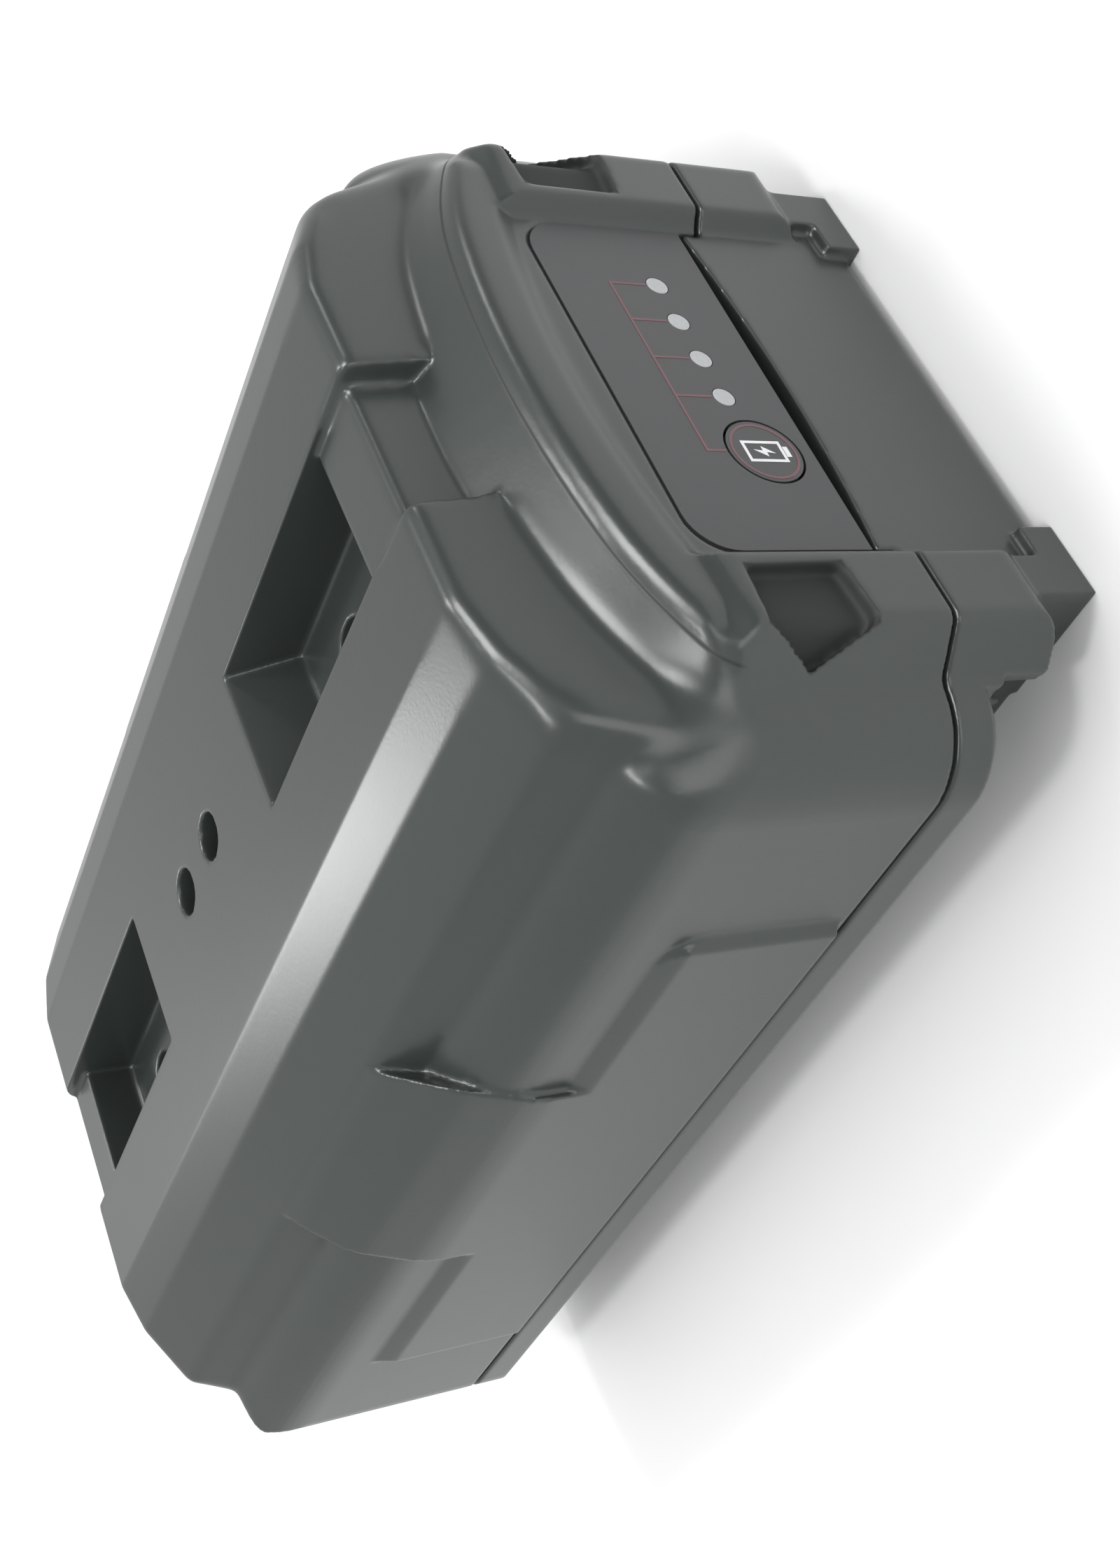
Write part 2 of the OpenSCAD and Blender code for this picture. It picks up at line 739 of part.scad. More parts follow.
// Hollow of the rail side: side floors, deck well, gauge bay and the terminal opening
module rail_hollow(top) {
  difference() {
    along_z(side_floor, pack_h) cavity_plan(0);
    both()
      for (y = closing_y)
        translate([closing_x, y, 0]) cylinder(r = boss_r, h = top);
  }
  difference() {
    block([-well_x, inner_front + 2, deck_floor], [well_x, inner_back, side_floor + 1]);
    for (x = [-post_x, post_x], y = post_y)
      translate([x, y, 0]) cylinder(r = small_head_r + 0.6, h = board_z - fit);
  }
  block([-label_w / 2, label_y + wall, deck_floor + 2], [label_w / 2, inner_front + 1, pack_h]);
  block([-terminal_w / 2 - fit, terminal_y, 0], [terminal_w / 2 + fit, inner_back + 1, deck_floor + 1]);
  block([-terminal_w / 2 - fit, inner_back - 1, 0], [terminal_w / 2 + fit, back_y + 1, terminal_top + fit]);
}

// Housing half with the slide rails
module rail_cover() {
  top = seam_z - seam_gap / 2;
  color(shell_grey)
    difference() {
      union() {
        intersection() {
          both() along_y(axis_yf, back_y) rail_half();
          along_z(0, top) cavity_plan(wall);
        }
        rail_front(top);
        seam_tongue(top);
      }
      rail_hollow(top);
      both()
        for (y = closing_y)
          translate([closing_x, y, 0]) {
            cylinder(r = screw_r + fit, h = pack_h);
            translate([0, 0, -1]) cylinder(r = head_r + 0.3, h = closing_seat + 1);
          }
      for (x = [-post_x, post_x], y = post_y)
        translate([x, y, deck_z + 1]) cylinder(r = small_r + fit, h = pack_h);
    }
}

// Printed panel over the gauge
module gauge_label() {
  color(label_black)
    difference() {
      along_y(label_y, label_seat - fit) label_outline(0);
      rod_y(button_x, button_z, wing_front, panel_in, button_d / 2 + button_gap);
      window_rods(wing_front, panel_in, window_d / 2 + fit);
    }
}

// Round push button with a flange behind the panel wall
module gauge_button() {
  color(label_black) {
    rod_y(button_x, button_z, label_y, flange_y + flange_t, button_d / 2);
    rod_y(button_x, button_z, flange_y, flange_y + flange_t, flange_r);
  }
}

// Plunger of the switch, which moves with the button
module switch_plunger() {
  color(label_black)
    rod_y(button_x, button_z, flange_y + flange_t + fit, switch_front + plunger_reach, plunger_r);
}

// Switch behind the button
module tact_switch() {
  half = switch_size / 2;
  hole = plunger_reach + button_travel + button_gap;
  color(frame_black)
    difference() {
      block(
        [button_x - half, switch_front, button_z - half],
        [button_x + half, gauge_board_y - fit, button_z + half]);
      rod_y(button_x, button_z, switch_front - 1, switch_front + hole, plunger_r + button_gap);
    }
}

// Clear rods that show the lights in the panel
module led_windows() {
  color(milky) {
    window_rods(label_y, panel_in + 2.2, window_d / 2);
    window_rods(panel_in + fit, panel_in + 0.7, window_d / 2 + 0.5);
  }
}

// Lights behind the windows
module gauge_leds() {
  size = [1.4, 1.9, 3];
  color(milky)
    for (i = [0 : windows - 1])
      translate([window_x0 + i * window_pitch, gauge_board_y - fit, window_z])
        translate([-size[0] / 2, -size[1], -size[2] / 2]) cube(size);
}

// Circuit board of the gauge
module gauge_board() {
  x = gauge_board_size[0] / 2;
  color(board_green)
    difference() {
      block(
        [-x, gauge_board_y, gauge_board_low],
        [x, gauge_board_y + board_t, gauge_board_low + gauge_board_size[1]]);
      both() rod_y(gauge_screw_x, gauge_screw_z, panel_in, axis_yf, small_r + fit);
    }
}

// Screws of the gauge board
module gauge_board_screws() {
  seat = gauge_board_y + board_t + fit;
  color(steel)
    both() {
      rod_y(gauge_screw_x, gauge_screw_z, gauge_board_y - 3, seat + small_head_h, small_r);
      rod_y(gauge_screw_x, gauge_screw_z, seat, seat + small_head_h, small_head_r);
    }
}

// Flat ribbon from the gauge board down to the control board
module gauge_ribbon() {
  half = 4;
  thick = 0.4;
  y0 = gauge_board_y + board_t + fit;
  color(paper) {
    block([-half, y0, board_top], [half, y0 + thick, gauge_board_low + 5]);
    block([-half, y0, board_top], [half, control_y + 3, board_top + thick]);
  }
}

// One cell: a revolved can with a crimp groove and a button, turned end for end in every other column
module cell(i) {
  column = i % columns;
  row = floor(i / columns) % rows;
  bank = floor(i / (columns * rows));
  turned = (column + bank) % 2;
  button_r = 3;
  crimp = 0.8;
  shoulder = cell_l - 0.7;
  color(cell_blue)
    translate([column_x(column), bank_y[bank] + turned * cell_l, row_z(row)])
      rotate([turned * 180 - 90, 0, 0])
        rotate_extrude()
          polygon(rounded([
            [0, 0, 0], [cell_r, 0, 0.6], [cell_r, shoulder - 4, 0], [cell_r - crimp, shoulder - 3.2, 0.6],
            [cell_r, shoulder - 2.4, 0], [cell_r, shoulder, 0.8], [button_r, shoulder, 0],
            [button_r, cell_l, 0.3], [0, cell_l, 0]], 3));
}

// Cradle over the upper cells of a bank, hung from the belly by two screws
module upper_cradle(y0, y1) {
  half = roof_x - 0.4;
  color(frame_black)
    difference() {
      block([-half, y0, upper_z + 5], [half, y1, cradle_top]);
      for (c = [0 : columns - 1])
        rod_y(column_x(c), upper_z, y0 - 1, y1 + 1, scallop_r);
      for (y = cradle_screw_y)
        translate([0, y, upper_z]) cylinder(r = screw_r + fit, h = pack_h);
    }
}

// Cradle under the lower cells of a bank, standing on the side floors
module lower_cradle(bank) {
  half = inner_x - 2.3;
  y0 = bank_y[bank] + 2;
  y1 = bank_y[bank] + cell_l - 2;
  color(frame_black)
    difference() {
      block([-half, y0, side_floor + fit], [half, y1, side_floor + 4.8]);
      for (c = [0 : columns - 1])
        rod_y(column_x(c), lower_z, y0 - 1, y1 + 1, scallop_r);
    }
}

// Cradle hung over the front bank
module upper_cradle_front() {
  upper_cradle(bank_y[0] + 3, bank_y[0] + cell_l + 1);
}

// Cradle hung over the rear bank
module upper_cradle_rear() {
  upper_cradle(bank_y[1] + 0.4, bank_y[1] + cell_l - 3);
}

// Cradle under the front bank
module lower_cradle_front() {
  lower_cradle(0);
}

// Cradle under the rear bank
module lower_cradle_rear() {
  lower_cradle(1);
}

// Nickel links over groups of columns, each [first, last]; the tabbed column reaches down to its lead
module link_strips(y, groups, tabbed) {
  half = 4.5;
  reach = 4;
  slit = [0.6, 5];
  color(nickel)
    difference() {
      for (g = groups)
        block(
          [column_x(g[0]) - half, y, g[0] == tabbed ? lead_z[0] + 1 : lower_z - reach],
          [column_x(g[1]) + half, y + strip_t, upper_z + reach]);
      for (c = [0 : columns - 1], r = [0 : rows - 1])
        block(
          [column_x(c) - slit[0] / 2, y - 1, row_z(r) - slit[1] / 2],
          [column_x(c) + slit[0] / 2, y + 1, row_z(r) + slit[1] / 2]);
    }
}

// Links on the front ends of the front bank
module link_strips_front() {
  link_strips(strip_front_y, outer_groups, columns - 1);
}

// Links on the rear ends of the front bank
module link_strips_mid_front() {
  link_strips(strip_mid_front_y, middle_groups, columns);
}

// Links on the front ends of the rear bank
module link_strips_mid_rear() {
  link_strips(strip_mid_rear_y, middle_groups, columns);
}

// Links on the rear ends of the rear bank
module link_strips_rear() {
  link_strips(strip_rear_y, outer_groups, columns - 1);
}

// Insulating sheet across the pack
module sheet(y, thick, low) {
  half = inner_x - 2.3;
  color(paper) block([-half, y, low], [half, y + thick, sheet_top]);
}

// Sheet in front of the front links
module front_insulator() {
  sheet(front_sheet_y, sheet_t, seam_z);
}

// Sheet between the banks
module mid_insulator() {
  sheet(mid_sheet_y, mid_sheet_t, side_floor + 0.8);
}

// Sheet behind the rear links
module rear_insulator() {
  sheet(rear_sheet_y, sheet_t, seam_z);
}

// Foam block that presses the cells forward
module rear_foam_pad() {
  half = closing_x - boss_r - 1;
  color(foam)
    block([-half, rear_sheet_y + sheet_t + fit, seam_z + 2], [half, inner_back - fit, front_bay_top - 0.5]);
}

// Circuit board on its four posts
module control_board() {
  half = control_w / 2;
  color(board_green)
    difference() {
      block([-half, control_y, board_z], [half, control_end, board_z + board_t]);
      for (x = [-post_x, post_x], y = post_y)
        translate([x, y, 0]) cylinder(r = small_r + fit, h = pack_h);
    }
}

// Screws of the control board
module board_screws() {
  color(steel)
    for (x = [-post_x, post_x], y = post_y)
      translate([x, y, 0]) {
        translate([0, 0, deck_z + 1.3]) cylinder(r = small_r, h = board_top - deck_z - 1.3 + small_head_h);
        translate([0, 0, board_top]) cylinder(r = small_head_r, h = small_head_h);
      }
}

// Switching transistors in a row on the control board
module power_transistors() {
  size = [8, 9, 4.2];
  count = 4;
  pitch = 10;
  y = control_end - 36;
  color(frame_black)
    for (i = [0 : count - 1])
      translate([(i - (count - 1) / 2) * pitch - size[0] / 2, y, board_top]) cube(size);
}

// Control chip
module control_chip() {
  size = [12, 12, 1.6];
  y = control_y + 24;
  color(frame_black) translate([-size[0] / 2, y, board_top]) cube(size);
}

// Fuse
module main_fuse() {
  size = [22, 8, 4];
  place = [-12, control_end - 20, board_top];
  color(milky) translate(place) cube(size);
}

// Terminal block with slots that open down and to the back
module terminal_block() {
  half = terminal_w / 2;
  flange = 1.8;
  color(frame_black)
    difference() {
      union() {
        block([-half, terminal_y + fit, deck_z], [half, terminal_end, terminal_top]);
        block(
          [-half - flange, terminal_y - flange, deck_floor + fit],
          [half + flange, inner_back - fit, deck_floor + 2]);
      }
      for (x = concat([-power_x, power_x], signal_x))
        block([x - slot_w / 2, terminal_y + 3, 0], [x + slot_w / 2, back_y + 1, slot_top]);
    }
}

// Clip of two leaves joined at the top, inside a slot
module clip(x, y0, y1) {
  out = slot_w / 2 - fit;
  leaf = 0.5;
  low = deck_z + 1.2;
  high = slot_top - fit;
  difference() {
    block([x - out, y0, low], [x + out, y1, high]);
    block([x - out + leaf, y0 - 1, low - 1], [x + out - leaf, y1 + 1, high - leaf]);
  }
}

// Wide clips for the two power blades
module power_contacts() {
  color(copper)
    for (x = [-power_x, power_x])
      clip(x, terminal_y + 8, terminal_end - 6);
}

// Clips for the signal blades
module signal_contacts() {
  color(copper)
    for (x = signal_x)
      clip(x, terminal_y + 12, terminal_end - 8);
}

// Flat lead from an outer link at y, down into the deck well and along to the control board at y_board
module lead(y, y_board) {
  out = column_x(columns - 1) + 3;
  color(copper) {
    block([lead_x[0], y, lead_z[0]], [out, y + lead_t, lead_z[1]]);
    block([lead_x[0], y, board_top], [lead_x[1], y + lead_t, lead_z[1]]);
    block([lead_x[0], min(y, y_board), board_top], [lead_x[1], max(y + lead_t, y_board), board_top + lead_t]);
  }
}

// Lead from the front links
module positive_lead() {
  lead(front_sheet_y, control_y + 2.6);
}

// Lead from the rear links
module negative_lead() {
  lead(rear_sheet_y, control_end - 2.6);
}

// Screw along Z with its head up, seated at z, with a cross recess
module screw(z, l, r, head) {
  slot = [0.8, 1.4 * head, 0.8];
  difference() {
    union() {
      translate([0, 0, z - l]) cylinder(r = r, h = l + 0.1);
      translate([0, 0, z]) cylinder(r = head, h = head_h);
    }
    for (a = [0, 90])
      rotate([0, 0, a])
        translate([-slot[0] / 2, -slot[1] / 2, z + head_h - slot[2]]) cube([slot[0], slot[1], slot[2] + 1]);
  }
}

// Screws from the belly into the cell cradles
module cradle_screws() {
  color(steel)
    for (y = cradle_screw_y)
      translate([0, y, 0]) screw(head_seat + fit, cradle_screw_l, screw_r, head_r);
}

// Screws that close the two housing halves, driven from the rail side
module housing_screws() {
  color(steel)
    both()
      for (y = closing_y)
        translate([closing_x, y, 0])
          mirror([0, 0, 1]) screw(fit - closing_seat, closing_top - closing_seat, screw_r, head_r);
}

belly_shell();
rail_cover();
gauge_label();
gauge_button();
led_windows();
cradle_screws();
gauge_board();
gauge_leds();
tact_switch();
switch_plunger();
gauge_board_screws();
gauge_ribbon();
upper_cradle_front();
upper_cradle_rear();
lower_cradle_front();
lower_cradle_rear();
link_strips_front();
link_strips_mid_front();
link_strips_mid_rear();
link_strips_rear();
front_insulator();
mid_insulator();
rear_insulator();
rear_foam_pad();
control_board();
power_transistors();
control_chip();
main_fuse();
board_screws();
terminal_block();
power_contacts();
signal_contacts();
positive_lead();
negative_lead();
housing_screws();
for (i = [0 : cells - 1])
  cell(i);
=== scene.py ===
"""Looks of the battery pack: moulded skins, printed gauge panel, finishes, light and camera."""

import json
import logging
import math
from collections.abc import Iterator
from dataclasses import dataclass, field
from enum import Enum
from typing import Union

import bmesh
import bpy
import numpy as np
from mathutils import Matrix, Vector


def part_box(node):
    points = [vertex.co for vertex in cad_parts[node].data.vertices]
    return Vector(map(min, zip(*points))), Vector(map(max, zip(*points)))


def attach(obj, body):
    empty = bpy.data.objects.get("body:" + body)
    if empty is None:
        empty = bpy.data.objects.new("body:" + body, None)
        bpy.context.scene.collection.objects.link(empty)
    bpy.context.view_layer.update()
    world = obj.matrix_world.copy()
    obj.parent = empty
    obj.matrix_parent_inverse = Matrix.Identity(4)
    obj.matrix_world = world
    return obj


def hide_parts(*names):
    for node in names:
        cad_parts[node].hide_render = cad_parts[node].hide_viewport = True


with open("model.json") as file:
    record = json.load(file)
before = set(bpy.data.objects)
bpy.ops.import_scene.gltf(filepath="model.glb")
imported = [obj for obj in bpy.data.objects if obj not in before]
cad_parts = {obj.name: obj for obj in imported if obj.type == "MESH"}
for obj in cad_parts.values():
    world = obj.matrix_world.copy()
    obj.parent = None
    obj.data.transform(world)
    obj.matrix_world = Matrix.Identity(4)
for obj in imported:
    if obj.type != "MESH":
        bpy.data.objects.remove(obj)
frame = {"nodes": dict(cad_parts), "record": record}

MM = 0.001
log = logging.getLogger("battery_pack")

Colour = tuple[float, float, float]
Point = tuple[float, float, float]
Pair = tuple[float, float]
Value = Union["Wire", float, int, tuple]


class Body(Enum):
    """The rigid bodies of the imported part."""

    PACK = "pack"
    BUTTON = "button"


class Wire:
    """An output socket that does sums: each operator adds a Math node."""

    def __init__(self, tree: bpy.types.NodeTree, socket: bpy.types.NodeSocket) -> None:
        """Keep the tree and the socket that the wire starts from."""
        self.tree = tree
        self.socket = socket

    def math(self, operation: str, first: Value, second: Value) -> "Wire":
        """Join two values by a Math node.

        Args:
            operation: Name of the Math node's operation.
            first: Left value.
            second: Right value.

        Returns:
            The node's output.
        """
        node = self.tree.nodes.new("ShaderNodeMath")
        node.operation = operation
        for socket, value in zip(node.inputs, (first, second)):
            if isinstance(value, Wire):
                self.tree.links.new(value.socket, socket)
            else:
                socket.default_value = value
        return Wire(self.tree, node.outputs[0])

    def __add__(self, other: Value) -> "Wire":
        """Sum of the two."""
        return self.math("ADD", self, other)

    __radd__ = __add__

    def __sub__(self, other: Value) -> "Wire":
        """Difference of the two."""
        return self.math("SUBTRACT", self, other)

    def __rsub__(self, other: Value) -> "Wire":
        """Difference with the wire on the right."""
        return self.math("SUBTRACT", other, self)

    def __mul__(self, other: Value) -> "Wire":
        """Product of the two."""
        return self.math("MULTIPLY", self, other)

    __rmul__ = __mul__

    def __truediv__(self, other: Value) -> "Wire":
        """Quotient of the two."""
        return self.math("DIVIDE", self, other)

    def __rtruediv__(self, other: Value) -> "Wire":
        """Quotient with the wire below the line."""
        return self.math("DIVIDE", other, self)

    def __abs__(self) -> "Wire":
        """Size without the sign."""
        return self.math("ABSOLUTE", self, 0.0)

    def __pow__(self, other: Value) -> "Wire":
        """The wire raised to a power."""
        return self.math("POWER", self, other)

    def __rpow__(self, other: Value) -> "Wire":
        """A value raised to the wire."""
        return self.math("POWER", other, self)

    def at_most(self, other: Value) -> "Wire":
        """The lesser of the two."""
        return self.math("MINIMUM", self, other)

    def at_least(self, other: Value) -> "Wire":
        """The greater of the two."""
        return self.math("MAXIMUM", self, other)

    def clamped(self) -> "Wire":
        """The wire kept from nought to one."""
        return self.at_least(0.0).at_most(1.0)


class NodeGraph:
    """A node tree under construction."""

    def __init__(self, tree: bpy.types.NodeTree) -> None:
        """Keep the tree that the nodes go into."""
        self.tree = tree

    def add(self, kind: str, settings: dict, values: dict, output: Union[str, int] = 0) -> Wire:
        """Add any node.

        Args:
            kind: Type name of the node.
            settings: Properties of the node, set first.
            values: Value or wire for each named or numbered input.
            output: Name or number of the output that is wanted.

        Returns:
            That output.
        """
        node = self.tree.nodes.new(kind)
        for name, setting in settings.items():
            setattr(node, name, setting)
        for name, value in values.items():
            self.feed(node.inputs[name], value)
        return Wire(self.tree, node.outputs[output])

    def feed(self, socket: bpy.types.NodeSocket, value: Value) -> None:
        """Link a wire to a socket, or set a plain value on it.

        Args:
            socket: Input to feed.
            value: Wire, number or colour.
        """
        if isinstance(value, Wire):
            self.tree.links.new(value.socket, socket)
        elif isinstance(value, tuple) and len(value) == 3 and socket.type == "RGBA":
            socket.default_value = (*value, 1.0)
        else:
            socket.default_value = value


class Paint(NodeGraph):
    """A material under construction: a Principled shader and the nodes that feed it."""

    def __init__(self, name: str) -> None:
        """Start an empty node tree with one Principled shader and its output.

        Args:
            name: Name of the finish.
        """
        self.material = bpy.data.materials.new(f"{name}_finish")
        self.material.use_nodes = True
        super().__init__(self.material.node_tree)
        self.tree.nodes.clear()
        self.shader = self.tree.nodes.new("ShaderNodeBsdfPrincipled")
        output = self.tree.nodes.new("ShaderNodeOutputMaterial")
        self.tree.links.new(self.shader.outputs["BSDF"], output.inputs["Surface"])
        self.place = self.add("ShaderNodeTexCoord", {}, {}, "Object")

    def set(self, name: str, value: Value) -> None:
        """Feed one input of the Principled shader."""
        self.feed(self.shader.inputs[name], value)

    def axis(self, name: str) -> Wire:
        """One of the Object coordinates, X, Y or Z."""
        return self.add("ShaderNodeSeparateXYZ", {}, {"Vector": self.place}, name)

    def noise(self, size_mm: float, detail: float = 2.0) -> Wire:
        """Soft noise on Object coordinates.

        Args:
            size_mm: Size of its blotches.
            detail: Octaves of finer noise.

        Returns:
            A value about 0.5.
        """
        values = {"Vector": self.place, "Scale": 1.0 / (size_mm * MM), "Detail": detail}
        return self.add("ShaderNodeTexNoise", {}, values, "Fac")

    def mix(self, factor: Value, low: Value, high: Value) -> Wire:
        """Blend two colours.

        Args:
            factor: Nought for the low colour, one for the high one.
            low: First colour.
            high: Second colour.

        Returns:
            The blended colour.
        """
        # A Mix node has sockets for each data type, and these numbers are those of its colours.
        values = {0: factor, 6: low, 7: high}
        return self.add("ShaderNodeMix", {"data_type": "RGBA"}, values, 2)

    def vary(self, pattern: Wire, tint: Colour, shades: Pair, rough: float, spread: float) -> None:
        """Let a pattern vary the colour and the roughness.

        Args:
            pattern: Value from nought to one.
            tint: Middle colour.
            shades: Factors on the colour where the pattern is nought and where it is one.
            rough: Middle roughness.
            spread: How far the roughness varies in all.
        """
        self.set("Base Color", self.mix(pattern, shade(tint, shades[0]), shade(tint, shades[1])))
        self.set("Roughness", rough - spread / 2 + pattern * spread)

    def bump(self, height: Wire, depth_mm: float) -> None:
        """Press a height pattern into the surface.

        Args:
            height: Pattern from nought to one.
            depth_mm: Height of the pattern.
        """
        values = {"Strength": 1.0, "Distance": depth_mm * MM, "Height": height}
        self.set("Normal", self.add("ShaderNodeBump", {}, values, "Normal"))


def shade(colour: Colour, by: float) -> Colour:
    """Lighten or darken a colour.

    Args:
        colour: Linear colour.
        by: Factor on each channel.

    Returns:
        The changed colour.
    """
    return tuple(min(1.0, channel * by) for channel in colour)


@dataclass(frozen=True)
class GripRecessShade:
    """The grip recesses on the two wings: left coarse by the mould, and darkened with painted shade.
    """

    corners_mm: tuple[Pair, ...]
    back_mm: float
    grow_mm: float = 0.45
    soft_mm: float = 0.3

    def mask(self, paint: Paint) -> Wire:
        """Find the surface inside the two recesses.

        Args:
            paint: Material that the nodes go into.

        Returns:
            One inside the recesses, nought outside.
        """
        across = abs(paint.axis("X")) / MM
        up = paint.axis("Z") / MM
        inside = self.back_mm - paint.axis("Y") / MM
        following = self.corners_mm[1:] + self.corners_mm[:1]
        for (x0, z0), (x1, z1) in zip(self.corners_mm, following):
            length = math.hypot(x1 - x0, z1 - z0)
            edge = (across - x0) * ((z1 - z0) / length) - (up - z0) * ((x1 - x0) / length)
            inside = inside.at_most(edge)
        return ((inside + self.grow_mm) / self.soft_mm).clamped()


@dataclass(frozen=True)
class BeadGrooveShadow:
    """Painted shadow in the fine groove along the back of the bead, on a round about a line along Y.
    """

    y_mm: float
    centre_z_mm: float
    radius_mm: float
    half_mm: float = 0.3
    deep_mm: float = 4.5

    def mask(self, paint: Paint) -> Wire:
        """Find the groove.

        Args:
            paint: Material that the nodes go into.

        Returns:
            One in the middle of the groove, fading to nought at its edges.
        """
        up = paint.axis("Z") / MM - self.centre_z_mm
        radius = ((paint.axis("X") / MM) ** 2.0 + up ** 2.0) ** 0.5
        near = 1.0 - abs(paint.axis("Y") / MM - self.y_mm) / self.half_mm
        on_top = (radius - self.radius_mm + self.deep_mm).clamped()
        return near.at_least(0.0) * on_top


@dataclass(frozen=True)
class MouldedPlastic:
    """Satin moulded plastic with a fine spark-eroded grain, faint flow marks and any patches of
    painted shade.
    """

    name: str
    tint: Colour
    rough: float
    grain_mm: float = 0.45
    grain_depth_mm: float = 0.005
    mottle: float = 0.10
    rough_spread: float = 0.02
    flow_mm: float = 24.0
    speck_mm: float = 0.9
    flow_share: float = 0.6
    painted_shade: float = 0.22
    patch_rough: float = 0.45
    ior: float = 1.5
    shade_patches: tuple[Union[GripRecessShade, BeadGrooveShadow], ...] = ()

    def material(self) -> bpy.types.Material:
        """Make the material.

        Returns:
            Its material.
        """
        paint = Paint(self.name)
        flow = paint.noise(self.flow_mm, detail=3.0)
        speck = paint.noise(self.speck_mm, detail=1.0)
        blend = flow * self.flow_share + speck * (1 - self.flow_share)
        colour = paint.mix(blend, shade(self.tint, 1 - self.mottle), shade(self.tint, 1 + self.mottle))
        rough = self.rough - self.rough_spread / 2 + blend * self.rough_spread
        # Each patch lays painted shade on the colour, and makes the surface rougher there.
        for patch in self.shade_patches:
            mask = patch.mask(paint)
            colour = paint.mix(mask, colour, shade(self.tint, self.painted_shade))
            rough = rough + mask * self.patch_rough
        paint.set("Base Color", colour)
        paint.set("Roughness", rough)
        paint.set("IOR", self.ior)
        paint.bump(paint.noise(self.grain_mm, detail=0.0), self.grain_depth_mm)
        return paint.material


@dataclass(frozen=True)
class PlainMetal:
    """Rolled or plated metal with fine lines along one axis."""

    name: str
    tint: Colour
    rough: float
    stretch: Point = (1.0, 12.0, 1.0)
    lines_per_m: float = 900.0
    line_depth_mm: float = 0.004
    shades: Pair = (0.8, 1.1)
    rough_spread: float = 0.16

    def material(self) -> bpy.types.Material:
        """Make the material.

        Returns:
            Its material.
        """
        paint = Paint(self.name)
        stretched = {"Vector": paint.place, "Scale": self.stretch}
        drawn = paint.add("ShaderNodeMapping", {}, stretched, "Vector")
        values = {"Vector": drawn, "Scale": self.lines_per_m, "Detail": 3.0}
        lines = paint.add("ShaderNodeTexNoise", {}, values, "Fac")
        paint.vary(lines, self.tint, self.shades, self.rough, self.rough_spread)
        paint.set("Metallic", 1.0)
        paint.bump(lines, self.line_depth_mm)
        return paint.material


@dataclass(frozen=True)
class SheetStock:
    """Paper, foam or film: a soft colour with fibres or pores of one size."""

    name: str
    tint: Colour
    rough: float
    pore_mm: float
    depth_mm: float
    spread: float = 0.15
    rough_spread: float = 0.1

    def material(self) -> bpy.types.Material:
        """Make the material.

        Returns:
            Its material.
        """
        paint = Paint(self.name)
        pores = paint.noise(self.pore_mm, detail=3.0)
        shades = (1 - self.spread, 1 + self.spread)
        paint.vary(pores, self.tint, shades, self.rough, self.rough_spread)
        paint.bump(pores, self.depth_mm)
        return paint.material


@dataclass(frozen=True)
class Ink:
    """Screen-printed ink, a little uneven."""

    name: str
    tint: Colour
    rough: float = 0.55
    screen_mm: float = 0.12
    shades: Pair = (0.86, 1.08)
    rough_spread: float = 0.1

    def material(self) -> bpy.types.Material:
        """Make the material.

        Returns:
            Its material.
        """
        paint = Paint(self.name)
        paint.vary(paint.noise(self.screen_mm), self.tint, self.shades, self.rough, self.rough_spread)
        return paint.material


@dataclass(frozen=True)
class MilkyLens:
    """Cloudy clear plastic of the light windows."""

    name: str
    tint: Colour
    rough: float = 0.34
    cloud_mm: float = 0.5
    shades: Pair = (0.9, 1.05)
    rough_spread: float = 0.1
    glow_weight: float = 0.15
    glow_depth: float = 0.4 * MM

    def material(self) -> bpy.types.Material:
        """Make the material.

        Returns:
            Its material.
        """
        paint = Paint(self.name)
        paint.vary(paint.noise(self.cloud_mm), self.tint, self.shades, self.rough, self.rough_spread)
        paint.set("Subsurface Weight", self.glow_weight)
        paint.set("Subsurface Scale", self.glow_depth)
        return paint.material


@dataclass(frozen=True)
class SolderMask:
    """Green circuit board with darker traces under the mask."""

    name: str
    tint: Colour
    rough: float = 0.3
    rough_spread: float = 0.1
    tracks_per_m: float = 160.0
    gap: float = 0.06
    shades: tuple[float, float, float] = (1.0, 1.25, 0.6)
    haze_mm: float = 3.0
    haze_share: float = 0.3
    haze_shade: float = 0.8

    def material(self) -> bpy.types.Material:
        """Make the material.

        Returns:
            Its material.
        """
        paint = Paint(self.name)
        first, second, between = (shade(self.tint, by) for by in self.shades)
        values = {"Vector": paint.place, "Scale": self.tracks_per_m, "Mortar Size": self.gap}
        values |= {"Color1": first, "Color2": second, "Mortar": between}
        tracks = paint.add("ShaderNodeTexBrick", {"offset": 0.5}, values, "Color")
        haze = paint.noise(self.haze_mm)
        colour = paint.mix(haze * self.haze_share, tracks, shade(self.tint, self.haze_shade))
        paint.set("Base Color", colour)
        paint.set("Roughness", self.rough + haze * self.rough_spread)
        return paint.material


HOUSING_GREY = (0.0375, 0.0445, 0.0420)
PANEL_GREY = (0.046, 0.0465, 0.049)
GRIP_CORNERS = ((29.3, 44.4), (36.3, 44.7), (39.1, 39.3), (36.6, 31.9), (29.1, 32.7))
# Painted shade darkens the grip recesses, grown a little past their edges.
GRIP_SHADE = GripRecessShade(GRIP_CORNERS, back_mm=-73.9)
# Painted shadow along the groove behind the bead.
BEAD_GROOVE_SHADOW = BeadGrooveShadow(y_mm=-76.1, centre_z_mm=-71.4, radius_mm=129.0)


